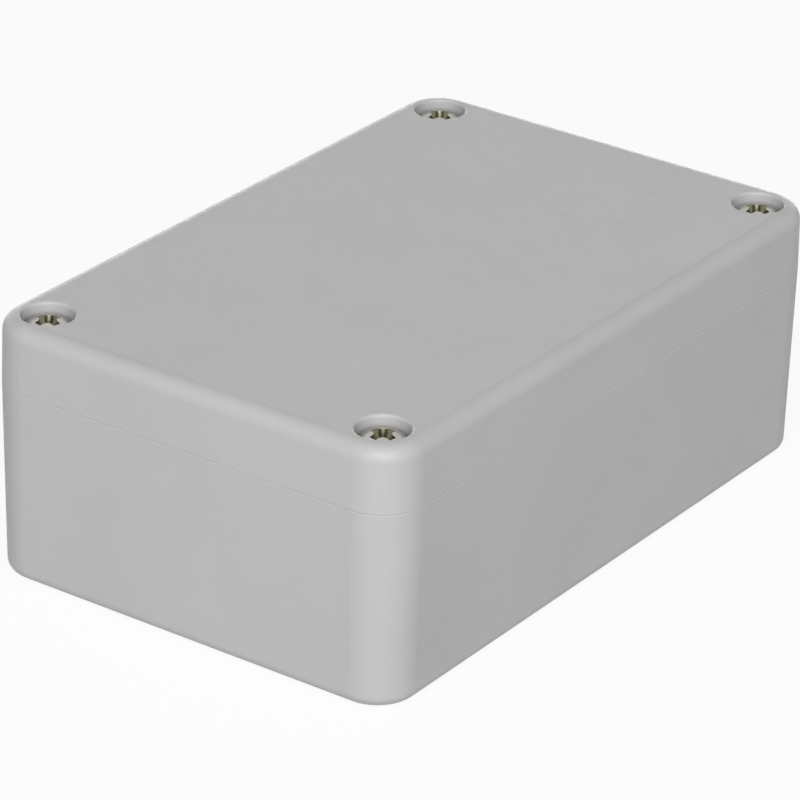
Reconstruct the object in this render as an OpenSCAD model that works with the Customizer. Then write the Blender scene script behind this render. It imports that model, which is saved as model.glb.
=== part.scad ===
// Sealed plastic project box.
// A deep moulded base and a shallow moulded lid meet in a tongue and groove.
// A gasket lies in the groove, and four captive screws turn into brass inserts.
// The origin is the centre of the underside: +X along the box, +Z up, mm.

/* [Housing] */
// Length at the parting line
box_l = 98; // [88:1:240]
// Width at the parting line
box_w = 64; // [60:1:200]
// Overall height, lid included
box_h = 36; // [32:0.5:120]
// Height of the lid
lid_h = 9; // [8:0.25:16]
// Radius of the upright corners at the parting line
corner_r = 6.2; // [5:0.1:8]
// Thickness of the side walls at the rim
wall = 2.8; // [2.6:0.1:4]
// Thickness of the base's floor
floor_t = 2.6; // [2:0.1:4]
// Thickness of the lid's top plate
top_t = 2.8; // [2.2:0.1:3.5]
// Lean of the base's walls, in degrees
base_draft = 0.9; // [0.2:0.1:2]
// Lean of the lid's walls, in degrees
lid_draft = 1.2; // [0.2:0.1:2]
// Radius of the base's bottom edge
bottom_edge_r = 1.6; // [0.8:0.1:2.4]
// Radius of the lid's top edge
top_edge_r = 2.15; // [1:0.05:3]
// Chamfer on both rims at the parting line
rim_chamfer = 0.12; // [0.08:0.02:0.3]

/* [Seal] */
// Thickness of the tongue on the base's rim
tongue_t = 1.3; // [1:0.05:1.4]
// Height of the tongue
tongue_h = 3.2; // [2:0.1:3.4]
// Thickness of the gasket above the tongue
gasket_t = 1.8; // [1:0.1:2]
// Gap between the tongue and each side of the groove
groove_gap = 0.15; // [0.1:0.01:0.2]
// Gap between the gasket and each side of the groove
gasket_gap = 0.05; // [0.02:0.01:0.08]
// Thickness of the rib inside the groove
groove_rib_t = 1.6; // [1:0.1:2]
// Land between the cavity and the wells outside the seal
seal_land = 2.4; // [2.2:0.1:4]
// Radius of the cavity's outward corners
cavity_r = 2.2; // [2:0.1:4]
// Radius of the cavity's notched corners
notch_r = 2.8; // [2.2:0.1:4]

/* [Lid screws] */
// Distance of the screws from the sides, at the parting line
screw_inset = 6; // [5.8:0.1:7]
// Outer diameter of the thread
thread_d = 3.9; // [2.9:0.1:4.4]
// Length under the head
screw_l = 18; // [17:0.5:20]
// Length of the threaded end
thread_l = 5.8; // [5:0.1:6.5]
// Diameter of the neck above the thread
neck_d = 3.1; // [2.4:0.1:3.2]
// Diameter of the head
head_d = 6.2; // [5.6:0.1:6.6]
// Height of the head, its dome included
head_h = 3; // [2.4:0.1:3.2]
// Height of the dome
head_rise = 0.6; // [0.2:0.1:0.8]
// Rounding of the head's edge
head_edge_r = 0.4; // [0.2:0.1:0.6]
// Depth of the head's top below the lid
head_drop = 0.65; // [0.4:0.05:1.2]
// Gap around the head
head_gap = 0.4; // [0.25:0.05:0.5]
// Rounding of the well's mouth
well_edge_r = 0.45; // [0.3:0.05:0.5]
// Hole through the lid
lid_hole_d = 4.6; // [4.4:0.1:5]
// Width of the driver recess's arms
recess_w = 1.3; // [0.8:0.05:1.6]
// Width across the driver recess
recess_d = 4.8; // [3:0.1:5]
// Depth of the driver recess
recess_h = 2; // [1:0.1:2.2]
// Direction of the recess's arms, in degrees
recess_angle = 79.8; // [0:0.1:90]

/* [Retaining washers and inserts] */
// Diameter of the retaining washer
washer_d = 6; // [5:0.1:6.4]
// Thickness of the retaining washer
washer_t = 1; // [0.6:0.1:1.4]
// Running gap on turned fits
fit_gap = 0.05; // [0.02:0.01:0.08]
// Gap around the retaining washer in its well
washer_gap = 0.3; // [0.2:0.05:0.4]
// Depth of the washer's well below the rim
washer_well_h = 7.5; // [7:0.1:9]
// Diameter of the brass insert
insert_d = 5.6; // [5:0.1:6]
// Length of the brass insert
insert_l = 8; // [6:0.5:9]
// Gap around the insert in its seat
insert_gap = 0.03; // [0.02:0.01:0.06]

/* [Wall mounts] */
// Distance of the wall-mount holes from the lid screws
mount_pitch = 10; // [9:0.1:14]
// Hole for the wall screw
mount_hole_d = 4.3; // [3.2:0.1:5]
// Well for the wall screw's head
mount_well_d = 7.5; // [6.5:0.1:8]
// Thickness under the wall screw's head
mount_floor_t = 5; // [3:0.5:8]

/* [Circuit board] */
// Spacing of the board bosses along the box
board_l = 60; // [40:1:150]
// Spacing of the board bosses across the box
board_w = 38; // [24:1:140]
// Diameter of a board boss
boss_d = 6.2; // [5:0.1:7]
// Height of a board boss above the floor
boss_h = 4; // [2:0.5:8]
// Pilot hole for a board screw
pilot_d = 2.5; // [2:0.1:3]
// Floor left under a pilot hole
pilot_floor_t = 1.3; // [1:0.1:2]
// Number of board slots along each long side
slot_count = 3; // [1:1:5]
// Distance between board slots
slot_pitch = 22; // [12:1:30]
// Width of a board slot
slot_w = 1.8; // [1.2:0.1:2.4]
// Thickness of the ribs beside a slot
slot_rib_t = 1; // [0.8:0.1:1.5]
// Depth of a board slot
slot_depth = 1.3; // [0.8:0.1:1.7]
// Gap between the slots' top and the rim
slot_drop = 2; // [1:0.5:6]

/* [Hidden] */
CORNERS = ["front_left", "front_right", "back_right", "back_left"];
$fn = 48;

// Overshoot of cutters past the face that they open
cut = 1;

plastic = [0.69, 0.69, 0.68];
rubber = [0.16, 0.16, 0.17];
steel = [0.8, 0.79, 0.77];
brass = [0.78, 0.62, 0.3];
nylon = [0.9, 0.89, 0.85];

parting_z = box_h - lid_h;

// Corner axes of the outer walls
axis_x = box_l / 2 - corner_r;
axis_y = box_w / 2 - corner_r;

// Lid screws, in the order of CORNERS
screw_x = box_l / 2 - screw_inset;
screw_y = box_w / 2 - screw_inset;
screw_at = [
    [-screw_x, -screw_y], [screw_x, -screw_y],
    [screw_x, screw_y], [-screw_x, screw_y]
];
well_d = head_d + 2 * head_gap;
seat_z = box_h - head_drop - head_h;
tip_z = seat_z - screw_l;
shoulder_z = tip_z + thread_l;
washer_well_z = parting_z - washer_well_h;
washer_well_d = washer_d + 2 * washer_gap;
insert_bore_d = thread_d + 2 * fit_gap;

// Wall-mount wells stand beside the lid screws, along the short sides
mount_x = screw_x;
mount_y = screw_y - mount_pitch;

// Cavity at the rim: a long bay and a wide bay that cross, which leaves the
// four corners to the screws and the wall-mount wells
cavity_x = box_l / 2 - wall;
cavity_y = box_w / 2 - wall;
bay_x = mount_x - mount_well_d / 2 - seal_land;
bay_y = mount_y - mount_well_d / 2 - seal_land;

// Seal, measured outwards from the cavity's wall and up from the parting line
groove_in = -groove_gap;
groove_out = tongue_t + groove_gap;
groove_h = tongue_h + gasket_t;
ceiling_z = box_h - top_t;

// Repeats the children at the four mirrored corners
module at_corners(x, y) {
    for (sx = [-1, 1], sy = [-1, 1]) translate([sx * x, sy * y, 0]) children();
}

// Half section of a moulding: x is the distance out from a corner axis and
// y the distance from the rim. The wall leans in and its far edge is round.
module wall_section(h, draft, edge_r) {
    edge_y = h - edge_r;
    edge_x = corner_r - edge_y * tan(draft) - edge_r / cos(draft);
    polygon([
        [0, 0],
        [corner_r - rim_chamfer, 0],
        [corner_r - rim_chamfer * tan(draft), rim_chamfer],
        [edge_x + edge_r * cos(draft), edge_y + edge_r * sin(draft)],
        [edge_x, h],
        [0, h]
    ]);
    translate([edge_x, edge_y]) circle(r = edge_r);
}

// Solid block with the wall section carried round all four sides
module drafted_block(h, draft, edge_r) {
    translate([-axis_x, -axis_y, 0]) cube([2 * axis_x, 2 * axis_y, h]);
    for (turn = [0:3]) {
        out = turn % 2 == 0 ? axis_x : axis_y;
        side = turn % 2 == 0 ? axis_y : axis_x;
        rotate([0, 0, 90 * turn]) {
            translate([out, 0, 0])
                rotate([90, 0, 0])
                    linear_extrude(2 * side, center = true)
                        wall_section(h, draft, edge_r);
            translate([out, side, 0])
                rotate_extrude(angle = 90)
                    wall_section(h, draft, edge_r);
        }
    }
}

module round_rect(x, y, r) {
    square([2 * x, 2 * (y - r)], center = true);
    square([2 * (x - r), 2 * y], center = true);
    for (sx = [-1, 1], sy = [-1, 1])
        translate([sx * (x - r), sy * (y - r)]) circle(r = r);
}

// The cavity's outline, moved outwards by grow all round
module seal_outline(grow) {
    inner_r = notch_r - grow;
    round_rect(cavity_x + grow, bay_y + grow, cavity_r + grow);
    round_rect(bay_x + grow, cavity_y + grow, cavity_r + grow);
    for (sx = [0, 1], sy = [0, 1])
        mirror([sx, 0]) mirror([0, sy])
            translate([bay_x + grow, bay_y + grow])
                difference() {
                    square(inner_r);
                    translate([inner_r, inner_r]) circle(r = inner_r);
                }
}

module seal_ring(from, to) {
    difference() {
        seal_outline(to);
        seal_outline(from);
    }
}

// Two ribs on each side wall that hold the edge of an upright board
module board_slots() {
    rib_h = parting_z - slot_drop - floor_t;
    first_x = -slot_pitch * (slot_count - 1) / 2;
    for (i = [0:slot_count - 1], side = [-1, 1], rib = [-1, 1])
        translate([
            first_x + i * slot_pitch + rib * (slot_w + slot_rib_t) / 2,
            side * (cavity_y - slot_depth / 2 + cut / 4),
            floor_t + rib_h / 2
        ])
            cube([slot_rib_t, slot_depth + cut / 2, rib_h], center = true);
}

module base() {
    color(plastic)
        difference() {
            union() {
                difference() {
                    translate([0, 0, parting_z])
                        mirror([0, 0, 1])
                            drafted_block(parting_z, base_draft, bottom_edge_r);
                    translate([0, 0, floor_t])
                        linear_extrude(parting_z) seal_outline(0);
                }
                translate([0, 0, parting_z])
                    linear_extrude(tongue_h) seal_ring(0, tongue_t);
                at_corners(board_l / 2, board_w / 2)
                    cylinder(h = floor_t + boss_h, d = boss_d);
                board_slots();
            }
            at_corners(board_l / 2, board_w / 2)
                translate([0, 0, pilot_floor_t])
                    cylinder(h = floor_t + boss_h, d = pilot_d);
            at_corners(screw_x, screw_y) {
                translate([0, 0, washer_well_z])
                    cylinder(h = washer_well_h + cut, d = washer_well_d);
                translate([0, 0, washer_well_z - insert_l])
                    cylinder(h = insert_l + cut, d = insert_d + 2 * insert_gap);
            }
            at_corners(mount_x, mount_y) {
                translate([0, 0, mount_floor_t])
                    cylinder(h = parting_z, d = mount_well_d);
                translate([0, 0, -cut])
                    cylinder(h = mount_floor_t + 2 * cut, d = mount_hole_d);
            }
        }
}

// Cutter for a screw's well in the lid, up from its seat, with a round mouth
module screw_well() {
    // Angle at which the mouth's rounding runs out through the top
    run_out = 75;
    well_r = well_d / 2;
    well_h = box_h - seat_z;
    edge_y = well_h - well_edge_r * sin(run_out);
    mouth_r = well_r + well_edge_r * (1 - cos(run_out));
    rotate_extrude()
        difference() {
            polygon([
                [0, 0],
                [well_r, 0],
                [well_r, edge_y],
                [mouth_r, well_h],
                [mouth_r, well_h + cut],
                [0, well_h + cut]
            ]);
            translate([well_r + well_edge_r, edge_y]) circle(r = well_edge_r);
        }
}

module lid() {
    color(plastic)
        difference() {
            translate([0, 0, parting_z]) drafted_block(lid_h, lid_draft, top_edge_r);
            translate([0, 0, parting_z - cut]) {
                linear_extrude(ceiling_z - parting_z + cut)
                    seal_outline(groove_in - groove_rib_t);
                linear_extrude(groove_h + cut) seal_ring(groove_in, groove_out);
            }
            at_corners(mount_x, mount_y)
                translate([0, 0, parting_z - cut])
                    cylinder(h = ceiling_z - parting_z + cut, d = mount_well_d);
            at_corners(screw_x, screw_y) {
                translate([0, 0, parting_z - cut]) cylinder(h = lid_h, d = lid_hole_d);
                translate([0, 0, seat_z]) screw_well();
            }
        }
}

module gasket() {
    color(rubber)
        translate([0, 0, parting_z + tongue_h])
            linear_extrude(gasket_t)
                seal_ring(groove_in + gasket_gap, groove_out - gasket_gap);
}

// Cross recess, drawn with the head's top at z = 0
module driver_recess() {
    flare = (recess_d - recess_w) / recess_h;
    intersection() {
        translate([0, 0, -recess_h])
            cylinder(h = recess_h + cut, d1 = recess_w, d2 = recess_d + flare * cut);
        union() {
            for (arm = [0, 90])
                rotate([0, 0, recess_angle + arm])
                    cube([recess_d + cut, recess_w, 2 * (recess_h + cut)], center = true);
        }
    }
}

// Half section of the head, up from its seat. The rounded edge runs into the dome.
module head_section() {
    head_r = head_d / 2;
    edge_x = head_r - head_edge_r;
    edge_y = head_h - head_rise - head_edge_r;
    dome_r = (edge_x ^ 2 + head_rise ^ 2) / (2 * head_rise) + head_edge_r;
    dome_y = head_h - dome_r;
    // The point where the edge and the dome meet
    reach = dome_r / (dome_r - head_edge_r);
    meet_y = dome_y + reach * (edge_y - dome_y);
    polygon([
        [0, 0],
        [head_r, 0],
        [head_r, edge_y],
        [reach * edge_x, meet_y],
        [0, meet_y]
    ]);
    translate([edge_x, edge_y]) circle(r = head_edge_r);
    intersection() {
        translate([0, dome_y]) circle(r = dome_r);
        translate([0, meet_y]) square([head_r, head_h]);
    }
}

module lid_screw(at) {
    thread_r = thread_d / 2;
    // Lead-in at the tip
    lead = thread_r - neck_d / 2;
    color(steel)
        translate([at[0], at[1], 0])
            difference() {
                rotate_extrude() {
                    polygon([
                        [0, tip_z],
                        [thread_r - lead, tip_z],
                        [thread_r, tip_z + lead],
                        [thread_r, shoulder_z],
                        [neck_d / 2, shoulder_z],
                        [neck_d / 2, seat_z],
                        [0, seat_z]
                    ]);
                    translate([0, seat_z]) head_section();
                }
                translate([0, 0, seat_z + head_h]) driver_recess();
            }
}

module retaining_washer(at) {
    color(nylon)
        translate([at[0], at[1], shoulder_z])
            difference() {
                cylinder(h = washer_t, d = washer_d);
                translate([0, 0, -cut])
                    cylinder(h = washer_t + 2 * cut, d = neck_d + 2 * fit_gap);
            }
}

module threaded_insert(at) {
    insert_r = insert_d / 2;
    // Groove round the middle, between two gripping bands
    groove_l = insert_l / 5;
    groove_r = insert_r - 0.35;
    lead = 0.4;
    color(brass)
        translate([at[0], at[1], washer_well_z - insert_l])
            rotate_extrude()
                polygon([
                    [insert_bore_d / 2, 0],
                    [insert_r - lead, 0],
                    [insert_r, lead],
                    [insert_r, (insert_l - groove_l) / 2],
                    [groove_r, (insert_l - groove_l) / 2],
                    [groove_r, (insert_l + groove_l) / 2],
                    [insert_r, (insert_l + groove_l) / 2],
                    [insert_r, insert_l],
                    [insert_bore_d / 2, insert_l]
                ]);
}

base();
lid();
gasket();
for (i = [0:3]) {
    lid_screw(screw_at[i]);
    retaining_washer(screw_at[i]);
    threaded_insert(screw_at[i]);
}
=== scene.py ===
"""Looks of a sealed plastic project box: materials, screw threads, light, floor and camera."""

import math

import bmesh
import bpy
from mathutils import Matrix, Vector

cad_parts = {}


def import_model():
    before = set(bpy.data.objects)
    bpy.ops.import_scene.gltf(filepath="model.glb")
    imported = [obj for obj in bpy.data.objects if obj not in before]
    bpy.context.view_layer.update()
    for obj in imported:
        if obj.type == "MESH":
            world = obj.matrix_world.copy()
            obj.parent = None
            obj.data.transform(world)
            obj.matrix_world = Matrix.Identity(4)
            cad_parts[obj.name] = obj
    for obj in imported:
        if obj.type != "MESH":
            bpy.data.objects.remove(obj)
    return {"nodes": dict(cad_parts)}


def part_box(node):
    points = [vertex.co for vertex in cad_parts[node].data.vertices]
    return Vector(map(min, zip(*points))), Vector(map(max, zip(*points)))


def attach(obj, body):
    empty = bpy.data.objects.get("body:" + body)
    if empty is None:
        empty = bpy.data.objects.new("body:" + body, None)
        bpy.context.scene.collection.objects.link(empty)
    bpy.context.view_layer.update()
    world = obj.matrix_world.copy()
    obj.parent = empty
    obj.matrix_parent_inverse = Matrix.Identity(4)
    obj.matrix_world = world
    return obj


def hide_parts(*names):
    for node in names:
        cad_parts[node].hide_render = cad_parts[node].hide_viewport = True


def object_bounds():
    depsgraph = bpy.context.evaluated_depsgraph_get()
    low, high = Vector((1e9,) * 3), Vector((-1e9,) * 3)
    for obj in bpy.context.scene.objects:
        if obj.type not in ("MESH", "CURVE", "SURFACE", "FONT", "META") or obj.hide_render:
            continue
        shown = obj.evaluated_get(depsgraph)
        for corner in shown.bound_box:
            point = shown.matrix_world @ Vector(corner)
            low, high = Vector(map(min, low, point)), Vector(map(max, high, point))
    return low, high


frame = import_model()
cad_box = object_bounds()

MM = 0.001
CORNERS = ("front_left", "front_right", "back_right", "back_left")
NODES = frame["nodes"]


# ---- Node helpers ----

# Where nearly all of a noise node's values lie
NOISE_RANGE = (0.3, 0.7)


def new_material(name):
    """A material, its tree and its shader."""
    material = bpy.data.materials.new(name)
    material.use_nodes = True
    return material, material.node_tree, material.node_tree.nodes["Principled BSDF"]


def add(tree, kind, inputs=None, **properties):
    """A node of that kind, with its inputs and its other properties set by name."""
    node = tree.nodes.new(kind)
    for name, value in properties.items():
        setattr(node, name, value)
    for socket, value in (inputs or {}).items():
        node.inputs[socket].default_value = value
    return node


def noise(tree, place, scale, detail=2.0, roughness=0.5):
    """Noise over that place, with scale features to a metre."""
    node = add(tree, "ShaderNodeTexNoise",
               inputs={"Scale": scale, "Detail": detail, "Roughness": roughness})
    tree.links.new(place, node.inputs["Vector"])
    return node.outputs["Fac"]


def spread(tree, value, low, high):
    """Noise carried from its own range to the one from low to high."""
    noise_low, noise_high = NOISE_RANGE
    node = add(tree, "ShaderNodeMapRange",
               inputs={"From Min": noise_low, "From Max": noise_high, "To Min": low, "To Max": high})
    tree.links.new(value, node.inputs["Value"])
    return node.outputs["Result"]


def blend_colours(tree, cloud, first, second):
    """Colour that the noise carries from the first one to the second."""
    node = add(tree, "ShaderNodeMix", data_type="RGBA")
    node.inputs["A"].default_value = (*first, 1)
    node.inputs["B"].default_value = (*second, 1)
    tree.links.new(spread(tree, cloud, 0, 1), node.inputs["Factor"])
    return node.outputs["Result"]


def bump(tree, height, distance, strength, normal=None):
    """Normal with that relief, on top of an earlier one where there is one."""
    node = add(tree, "ShaderNodeBump", inputs={"Strength": strength, "Distance": distance})
    tree.links.new(height, node.inputs["Height"])
    if normal:
        tree.links.new(normal, node.inputs["Normal"])
    return node.outputs["Normal"]


def object_place(tree):
    return add(tree, "ShaderNodeTexCoord").outputs["Object"]


# ---- Materials ----

# Face attribute that is 1 inside a screw's driver recess, where the steel paints shade
RECESS_SHADE_MARK = "recess"


def housing_plastic():
    """Light grey moulded plastic with the fine even grain of a spark-eroded tool."""
    material, tree, shader = new_material("housing_plastic")
    place = object_place(tree)
    cloud = noise(tree, place, 60, 3)
    tint = blend_colours(tree, cloud, (0.435, 0.433, 0.432), (0.452, 0.45, 0.45))
    tree.links.new(tint, shader.inputs["Base Color"])
    fine = noise(tree, place, 5200, 3, 0.6)
    coarse = noise(tree, place, 900, 2)
    tree.links.new(spread(tree, coarse, 0.45, 0.55), shader.inputs["Roughness"])
    grain = bump(tree, fine, 0.000012, 0.5)
    tree.links.new(bump(tree, coarse, 0.00001, 0.3, grain), shader.inputs["Normal"])
    shader.inputs["IOR"].default_value = 1.5
    return material


def gasket_rubber():
    """Soft black rubber with a dusty bloom."""
    material, tree, shader = new_material("gasket_rubber")
    place = object_place(tree)
    bloom = noise(tree, place, 420, 4, 0.6)
    tint = blend_colours(tree, bloom, (0.018, 0.018, 0.019), (0.034, 0.034, 0.035))
    tree.links.new(tint, shader.inputs["Base Color"])
    tree.links.new(spread(tree, bloom, 0.62, 0.8), shader.inputs["Roughness"])
    pores = noise(tree, place, 6000, 2)
    tree.links.new(bump(tree, pores, 0.00002, 0.5), shader.inputs["Normal"])
    return material


def screw_steel():
    """Plated steel with faint forming marks; in the driver recess, painted shade makes it darker and
    slightly olive.
    """
    material, tree, shader = new_material("screw_steel")
    place = object_place(tree)
    stain = noise(tree, place, 700, 3, 0.6)
    bright = blend_colours(tree, stain, (0.40, 0.39, 0.36), (0.50, 0.49, 0.46))
    # Painted shade: the recess faces get this darker, slightly olive steel instead of the steel's
    # own colour
    painted_recess_shade = blend_colours(tree, stain, (0.17, 0.165, 0.12), (0.24, 0.235, 0.18))
    recess = add(tree, "ShaderNodeAttribute", attribute_name=RECESS_SHADE_MARK)
    tint = add(tree, "ShaderNodeMix", data_type="RGBA")
    tree.links.new(recess.outputs["Fac"], tint.inputs["Factor"])
    tree.links.new(bright, tint.inputs["A"])
    tree.links.new(painted_recess_shade, tint.inputs["B"])
    tree.links.new(tint.outputs["Result"], shader.inputs["Base Color"])
    tree.links.new(spread(tree, stain, 0.24, 0.38), shader.inputs["Roughness"])
    marks = noise(tree, place, 3500, 2)
    tree.links.new(bump(tree, marks, 0.00001, 0.4), shader.inputs["Normal"])
    shader.inputs["Metallic"].default_value = 1.0
    return material


def washer_nylon():
    """Natural white nylon."""
    material, tree, shader = new_material("washer_nylon")
    place = object_place(tree)
    cloud = noise(tree, place, 500, 3)
    tint = blend_colours(tree, cloud, (0.72, 0.70, 0.64), (0.80, 0.78, 0.73))
    tree.links.new(tint, shader.inputs["Base Color"])
    tree.links.new(spread(tree, cloud, 0.36, 0.46), shader.inputs["Roughness"])
    shader.inputs["Subsurface Weight"].default_value = 0.15
    shader.inputs["Subsurface Radius"].default_value = (0.001, 0.0009, 0.0007)
    return material


def insert_brass():
    """Turned brass, slightly dulled."""
    material, tree, shader = new_material("insert_brass")
    place = object_place(tree)
    stain = noise(tree, place, 600, 4, 0.6)
    tint = blend_colours(tree, stain, (0.55, 0.38, 0.13), (0.70, 0.50, 0.20))
    tree.links.new(tint, shader.inputs["Base Color"])
    tree.links.new(spread(tree, stain, 0.22, 0.38), shader.inputs["Roughness"])
    turned = noise(tree, place, 3000, 2)
    tree.links.new(bump(tree, turned, 0.00001, 0.4), shader.inputs["Normal"])
    shader.inputs["Metallic"].default_value = 1.0
    return material


def dress(nodes, material):
    """Gives the CAD nodes that material alone."""
    for name in nodes:
        mesh = NODES[name].data
        mesh.materials.clear()
        mesh.materials.append(material)


plastic = housing_plastic()
rubber = gasket_rubber()
steel = screw_steel()
nylon = washer_nylon()
brass = insert_brass()
dress(["base", "lid"], plastic)
dress(["gasket"], rubber)
dress([f"retaining_washer_{corner}" for corner in CORNERS], nylon)


# ---- Screws and inserts ----

PITCH = 0.7 * MM
THREAD_CREST = 1.95 * MM
THREAD_ROOT = 1.57 * MM
THREAD_CLEARANCE = 0.05 * MM
# One turn of the thread from below: share of the pitch, share of the depth
THREAD_SHAPE = ((0.0, 0.0), (0.125, 0.0), (0.4375, 1.0), (0.5625, 1.0), (0.875, 0.0))
# Radius that the thread gains for each millimetre down from the neck
THREAD_RUNOUT = 1.5
SCREW_COLUMNS = 48
NECK_R = 1.55 * MM
HEAD_H = 3.0 * MM
HEAD_RISE = 0.6 * MM
HEAD_EDGE_R = 0.4 * MM
HEAD_EDGE_STEPS = 6
HEAD_DOME_STEPS = 10
# Cross recess at its mouth and at its bottom: half width and reach of an arm, inner corner
RECESS_MOUTH = (0.57 * MM, 1.9 * MM, 0.84 * MM)
RECESS_BOTTOM = (0.3 * MM, 0.8 * MM, 0.4 * MM)
RECESS_H = 1.8 * MM
RECESS_POINT_H = 0.25 * MM
RECESS_CORNER_STEPS = 8
RECESS_ANGLE = math.radians(79.8)
# The cutter's height, as a share of the recess's depth
RECESS_TOOL_SHARE = 1.5
# A face whose normal points further up than this is the head's dome
DOME_NORMAL_Z = 0.75
# Insert: depth of the knurl, height of the tapered lead, depth and share of the height of the waist
KNURL = 0.16 * MM
INSERT_LEAD = 0.4 * MM
WAIST_DEPTH = 0.35 * MM
WAIST_SHARE = 0.2
INSERT_COLUMNS = 96
# Points closer together than this become one
MERGE_DISTANCE = 1e-8


def polar(radius, angle, z):
    """Point at that angle round the axis."""
    return (radius * math.cos(angle), radius * math.sin(angle), z)


def add_face(bm, *corners):
    """A face between those points, with repeated points left out."""
    corners = list(dict.fromkeys(corners))
    if len(corners) > 2:
        bm.faces.new(corners)


def add_ring(bm, radius, z, columns):
    """A level ring of points, or one point on the axis."""
    if radius == 0:
        return [bm.verts.new((0, 0, z))]
    return [bm.verts.new(polar(radius, math.tau * j / columns, z)) for j in range(columns)]


def join_rings(bm, first, second):
    """Faces between two rings, either of which may be one point."""
    columns = max(len(first), len(second))
    for j in range(columns):
        a, b = first[j % len(first)], first[(j + 1) % len(first)]
        c, d = second[(j + 1) % len(second)], second[j % len(second)]
        add_face(bm, a, b, c, d)


def thread_depth(turn):
    """Share of the thread's depth at that share of a turn above its start."""
    turn %= 1
    points = THREAD_SHAPE + ((1.0, THREAD_SHAPE[0][1]),)
    for (start, low), (end, high) in zip(points, points[1:]):
        if turn <= end:
            return low + (high - low) * (turn - start) / (end - start)


def thread_surface(bm, low, high, columns, radius_at):
    """Right-hand helical surface between two levels. Returns its lowest and its highest ring."""
    step = len(THREAD_SHAPE)
    # The rows run a turn past each level, where they are pressed flat onto it
    first_turn = math.floor(low / PITCH) - 1
    turns = math.ceil(high / PITCH) - first_turn + 1
    rows = []
    for k in range(step * turns):
        start = first_turn + k // step + THREAD_SHAPE[k % step][0]
        row = []
        for j in range(columns):
            z = min(max((start + j / columns) * PITCH, low), high)
            radius = radius_at(z, thread_depth(z / PITCH - j / columns))
            row.append(bm.verts.new(polar(radius, math.tau * j / columns, z)))
        rows.append(row)

    def at(k, j):
        # The last column meets the first one a pitch higher
        return rows[k][j] if j < columns else rows[min(k + step, len(rows) - 1)][0]

    for k in range(len(rows) - 1):
        for j in range(columns):
            add_face(bm, at(k, j), at(k, j + 1), at(k + 1, j + 1), at(k + 1, j))
    return rows[0], rows[-1]


def finish_mesh(bm, name):
    """Object of a closed mesh, its points merged and its faces turned outwards."""
    bmesh.ops.remove_doubles(bm, verts=bm.verts, dist=MERGE_DISTANCE)
    bmesh.ops.recalc_face_normals(bm, faces=bm.faces)
    mesh = bpy.data.meshes.new(name)
    bm.to_mesh(mesh)
    bm.free()
    piece = bpy.data.objects.new(name, mesh)
    bpy.context.scene.collection.objects.link(piece)
    return piece


def cut_out(piece, tool):
    """Takes the tool's shape out of the piece, and removes the tool."""
    modifier = piece.modifiers.new("cut", "BOOLEAN")
    modifier.object, modifier.operation, modifier.solver = tool, "DIFFERENCE", "EXACT"
    graph = bpy.context.evaluated_depsgraph_get()
    mesh = bpy.data.meshes.new_from_object(piece.evaluated_get(graph))
    piece.modifiers.clear()
    piece.data = mesh
    bpy.data.objects.remove(tool)


def head_profile(radius):
    """Radius and height of the screw head's outline above its seat, up to the axis."""
    edge_x = radius - HEAD_EDGE_R
    edge_z = HEAD_H - HEAD_RISE - HEAD_EDGE_R
    dome_r = (edge_x ** 2 + HEAD_RISE ** 2) / (2 * HEAD_RISE) + HEAD_EDGE_R
    dome_z = HEAD_H - dome_r
    # Lean of the line through both centres, where the edge runs into the dome
    lean = math.atan2(edge_x, edge_z - dome_z)
    points = [(radius, 0)]
    for k in range(HEAD_EDGE_STEPS + 1):
        angle = math.pi / 2 + (lean - math.pi / 2) * k / HEAD_EDGE_STEPS
        x = edge_x + HEAD_EDGE_R * math.sin(angle)
        points.append((x, edge_z + HEAD_EDGE_R * math.cos(angle)))
    for k in range(1, HEAD_DOME_STEPS):
        angle = lean * (1 - k / HEAD_DOME_STEPS)
        points.append((dome_r * math.sin(angle), dome_z + dome_r * math.cos(angle)))
    return points + [(0, HEAD_H)]


def recess_outline(half_width, reach, corner_r):
    """Cross with rounded inner corners, anticlockwise."""
    points = []
    inner = half_width + corner_r
    for turn in range(4):
        spin = Matrix.Rotation(RECESS_ANGLE + turn * math.pi / 2, 2)
        points += [spin @ Vector((reach, -half_width)), spin @ Vector((reach, half_width))]
        for k in range(RECESS_CORNER_STEPS + 1):
            angle = -math.pi / 2 - math.pi / 2 * k / RECESS_CORNER_STEPS
            round_off = Vector((math.cos(angle), math.sin(angle))) * corner_r
            points.append(spin @ (Vector((inner, inner)) + round_off))
    return points


def recess_tool(top):
    """Cutter for the cross recess, which narrows to a blunt point."""
    bm = bmesh.new()
    last = add_ring(bm, 0, top - RECESS_H - RECESS_POINT_H, 0)
    # From the bottom to well above the head
    for share in (0, RECESS_TOOL_SHARE):
        sizes = [low + (high - low) * share for low, high in zip(RECESS_BOTTOM, RECESS_MOUTH)]
        z = top + RECESS_H * (share - 1)
        ring = [bm.verts.new((x, y, z)) for x, y in recess_outline(*sizes)]
        join_rings(bm, last, ring)
        last = ring
    add_face(bm, *last)
    return finish_mesh(bm, "recess")


def mark_recess(screw, top):
    """Gives each face inside the recess the value 1, which the steel reads to paint shade there."""
    marks = screw.data.attributes.new(RECESS_SHADE_MARK, "FLOAT", "FACE")
    for face, mark in zip(screw.data.polygons, marks.data):
        x, y, z = face.center
        deep = z > top - RECESS_H - RECESS_POINT_H
        inside = math.hypot(x, y) < RECESS_MOUTH[1]
        mark.value = float(deep and inside and face.normal.z < DOME_NORMAL_Z)


def shade(piece, material, sharp):
    """Smooth shading, with the edges that turn more than sharp degrees left hard."""
    piece.data.materials.clear()
    piece.data.materials.append(material)
    piece.data.shade_smooth()
    piece.data.set_sharp_from_angle(angle=math.radians(sharp))


def place(piece, node):
    """Moves the mesh from the origin's axis to the node's."""
    low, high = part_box(node)
    middle = ((low[0] + high[0]) / 2, (low[1] + high[1]) / 2, 0)
    piece.data.transform(Matrix.Translation(middle))


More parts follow.
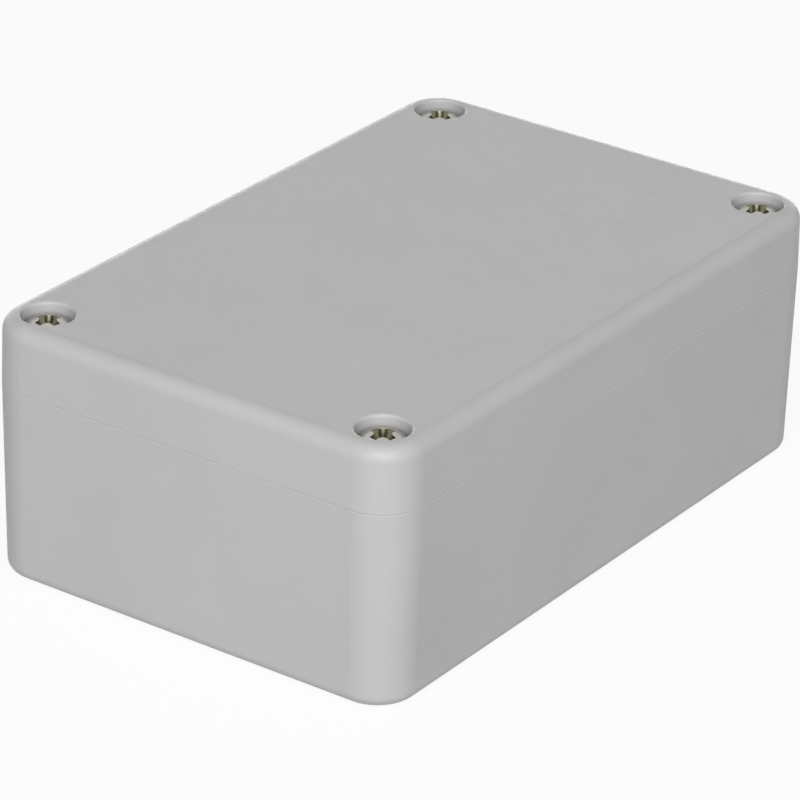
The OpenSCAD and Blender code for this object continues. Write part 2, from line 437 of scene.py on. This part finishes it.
def lid_screw(corner):
    """Captive screw: threaded end, plain neck, domed head with a cross recess."""
    node = f"lid_screw_{corner}"
    low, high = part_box(node)
    tip, top = low[2], high[2]
    head_r = (high[0] - low[0]) / 2
    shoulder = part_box(f"retaining_washer_{corner}")[0][2]
    seat = top - HEAD_H

    def radius_at(z, depth):
        thread = THREAD_ROOT + (THREAD_CREST - THREAD_ROOT) * depth
        return min(thread, NECK_R + z - tip, THREAD_ROOT + THREAD_RUNOUT * (shoulder - z))

    bm = bmesh.new()
    bottom, last = thread_surface(bm, tip, shoulder, SCREW_COLUMNS, radius_at)
    join_rings(bm, add_ring(bm, 0, tip, SCREW_COLUMNS), bottom)
    outline = [(NECK_R, shoulder), (NECK_R, seat)]
    outline += [(r, seat + z) for r, z in head_profile(head_r)]
    for r, z in outline:
        ring = add_ring(bm, r, z, SCREW_COLUMNS)
        join_rings(bm, last, ring)
        last = ring
    screw = finish_mesh(bm, f"screw_{corner}")
    cut_out(screw, recess_tool(top))
    mark_recess(screw, top)
    place(screw, node)
    shade(screw, steel, 35)
    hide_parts(node)
    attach(screw, node)


def threaded_insert(corner):
    """Brass insert: two knurled bands outside, and a thread that suits the screw's."""
    node = f"threaded_insert_{corner}"
    low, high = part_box(node)
    bottom_z, top_z = low[2], high[2]
    outer_r = (high[0] - low[0]) / 2
    waist_r = outer_r - WAIST_DEPTH
    waist_h = (top_z - bottom_z) * WAIST_SHARE
    middle = (bottom_z + top_z) / 2

    def knurled_ring(bm, radius, z, depth):
        # Two columns on each tooth and two in each gap
        radii = (radius, radius, radius - depth, radius - depth)
        return [bm.verts.new(polar(radii[j % 4], math.tau * j / INSERT_COLUMNS, z))
                for j in range(INSERT_COLUMNS)]

    def radius_at(z, depth):
        mouth = THREAD_CREST + THREAD_CLEARANCE
        thread = THREAD_ROOT + (THREAD_CREST - THREAD_ROOT) * depth + THREAD_CLEARANCE
        return max(thread, mouth - (z - bottom_z), mouth - (top_z - z))

    bm = bmesh.new()
    last, bore_top = thread_surface(bm, bottom_z, top_z, INSERT_COLUMNS, radius_at)
    # Outline from the bottom up: radius, level, depth of the knurl there
    for radius, z, depth in (
            (outer_r - INSERT_LEAD, bottom_z, 0),
            (outer_r - KNURL, bottom_z + INSERT_LEAD - KNURL, 0),
            (outer_r, bottom_z + INSERT_LEAD, KNURL),
            (outer_r, middle - waist_h / 2, KNURL),
            (waist_r, middle - waist_h / 2, 0),
            (waist_r, middle + waist_h / 2, 0),
            (outer_r, middle + waist_h / 2, KNURL),
            (outer_r, top_z - KNURL, KNURL),
            (outer_r - KNURL, top_z, 0)):
        ring = knurled_ring(bm, radius, z, depth)
        join_rings(bm, last, ring)
        last = ring
    join_rings(bm, last, bore_top)
    insert = finish_mesh(bm, f"insert_{corner}")
    place(insert, node)
    shade(insert, brass, 25)
    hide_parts(node)
    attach(insert, "base")


for corner in CORNERS:
    lid_screw(corner)
    threaded_insert(corner)


# ---- Floor, background, light ----

WHITE_RAYS = ("Is Camera Ray", "Is Glossy Ray", "Is Transmission Ray")
# The floor lies this far below the underside, so that the two don't coincide
FLOOR_GAP = 0.05 * MM
FLOOR_SIZE = 3.0
# Share of the seen floor that is its own even white, and not what the light and shadow make it
FLOOR_GLOW = 0.9
# Strength of the world's even light on the object
AMBIENT = 0.25


def seen_factor(tree):
    """1 for the rays that show the background, 0 for those that light the object."""
    path = add(tree, "ShaderNodeLightPath")
    total = path.outputs[WHITE_RAYS[0]]
    for name in WHITE_RAYS[1:]:
        both = add(tree, "ShaderNodeMath", operation="MAXIMUM")
        tree.links.new(total, both.inputs[0])
        tree.links.new(path.outputs[name], both.inputs[1])
        total = both.outputs[0]
    return total


def floor():
    """White floor that keeps some of the object's shadow."""
    level = cad_box[0].z - FLOOR_GAP
    bpy.ops.mesh.primitive_plane_add(size=FLOOR_SIZE, location=(0, 0, level))
    plane = bpy.context.object
    plane.name = "floor"
    material = bpy.data.materials.new("floor_white")
    material.use_nodes = True
    tree = material.node_tree
    tree.nodes.clear()
    out = add(tree, "ShaderNodeOutputMaterial")
    matt = add(tree, "ShaderNodeBsdfDiffuse", inputs={"Color": (0.5, 0.5, 0.5, 1)})
    lit = add(tree, "ShaderNodeBsdfDiffuse", inputs={"Color": (0.9, 0.9, 0.9, 1)})
    white = add(tree, "ShaderNodeEmission", inputs={"Color": (1, 1, 1, 1), "Strength": 1.0})
    shown = add(tree, "ShaderNodeMixShader", inputs={"Fac": FLOOR_GLOW})
    tree.links.new(lit.outputs[0], shown.inputs[1])
    tree.links.new(white.outputs[0], shown.inputs[2])
    both = add(tree, "ShaderNodeMixShader")
    tree.links.new(seen_factor(tree), both.inputs["Fac"])
    tree.links.new(matt.outputs[0], both.inputs[1])
    tree.links.new(shown.outputs[0], both.inputs[2])
    tree.links.new(both.outputs[0], out.inputs["Surface"])
    plane.data.materials.append(material)


def world():
    """White to look at, with a weaker even light on the object."""
    sky = bpy.data.worlds.new("studio")
    bpy.context.scene.world = sky
    sky.use_nodes = True
    tree = sky.node_tree
    tree.nodes.clear()
    out = add(tree, "ShaderNodeOutputWorld")
    dim = add(tree, "ShaderNodeBackground", inputs={"Color": (1, 1, 1, 1), "Strength": AMBIENT})
    white = add(tree, "ShaderNodeBackground", inputs={"Color": (1, 1, 1, 1), "Strength": 1.0})
    both = add(tree, "ShaderNodeMixShader")
    tree.links.new(seen_factor(tree), both.inputs["Fac"])
    tree.links.new(dim.outputs[0], both.inputs[1])
    tree.links.new(white.outputs[0], both.inputs[2])
    tree.links.new(both.outputs[0], out.inputs["Surface"])


def softbox(name, towards, distance, width, height, power):
    """Area lamp that shines at the box's middle from that direction, in metres and watts."""
    data = bpy.data.lights.new(name, "AREA")
    data.shape = "RECTANGLE"
    data.size, data.size_y = width, height
    data.energy = power
    lamp = bpy.data.objects.new(name, data)
    bpy.context.scene.collection.objects.link(lamp)
    direction = Vector(towards).normalized()
    middle = (cad_box[0] + cad_box[1]) / 2
    lamp.location = middle + direction * distance
    lamp.rotation_mode = "QUATERNION"
    lamp.rotation_quaternion = direction.to_track_quat("Z", "Y")


def camera(azimuth, elevation, roll, distance, lens, offset):
    """Camera turned to the box's middle, then moved sideways and up by offset. Angles in degrees."""
    a, e = math.radians(azimuth), math.radians(elevation)
    back = Vector((math.sin(a) * math.cos(e), -math.cos(a) * math.cos(e), math.sin(e)))
    right = (-back).cross(Vector((0, 0, 1))).normalized()
    up = right.cross(-back)
    middle = (cad_box[0] + cad_box[1]) / 2
    data = bpy.data.cameras.new("camera")
    data.lens = lens
    data.sensor_width = 36.0
    data.clip_start, data.clip_end = distance / 50, distance * 20
    cam = bpy.data.objects.new("camera", data)
    bpy.context.scene.collection.objects.link(cam)
    turned = Matrix.Rotation(math.radians(roll), 3, back)
    axes = Matrix((right, up, back)).transposed()
    eye = middle + right * offset[0] + up * offset[1] + back * distance
    cam.matrix_world = Matrix.Translation(eye) @ (turned @ axes).to_4x4()
    bpy.context.scene.camera = cam


floor()
world()
softbox("key", towards=(-0.70, -0.493, 0.502), distance=1.0, width=0.9, height=0.9, power=12.05)
# Low and wide, so that it lights the sides away from the camera and hardly the top
softbox("back_fill", towards=(0.77, 0.64, 0.09), distance=1.4, width=1.8, height=0.22, power=8.5)
camera(azimuth=-55.182, elevation=26.067, roll=1.536, distance=0.6177, lens=211.2,
       offset=(-1.26 * MM, -2.54 * MM))

bpy.context.scene.view_settings.view_transform = "Standard"
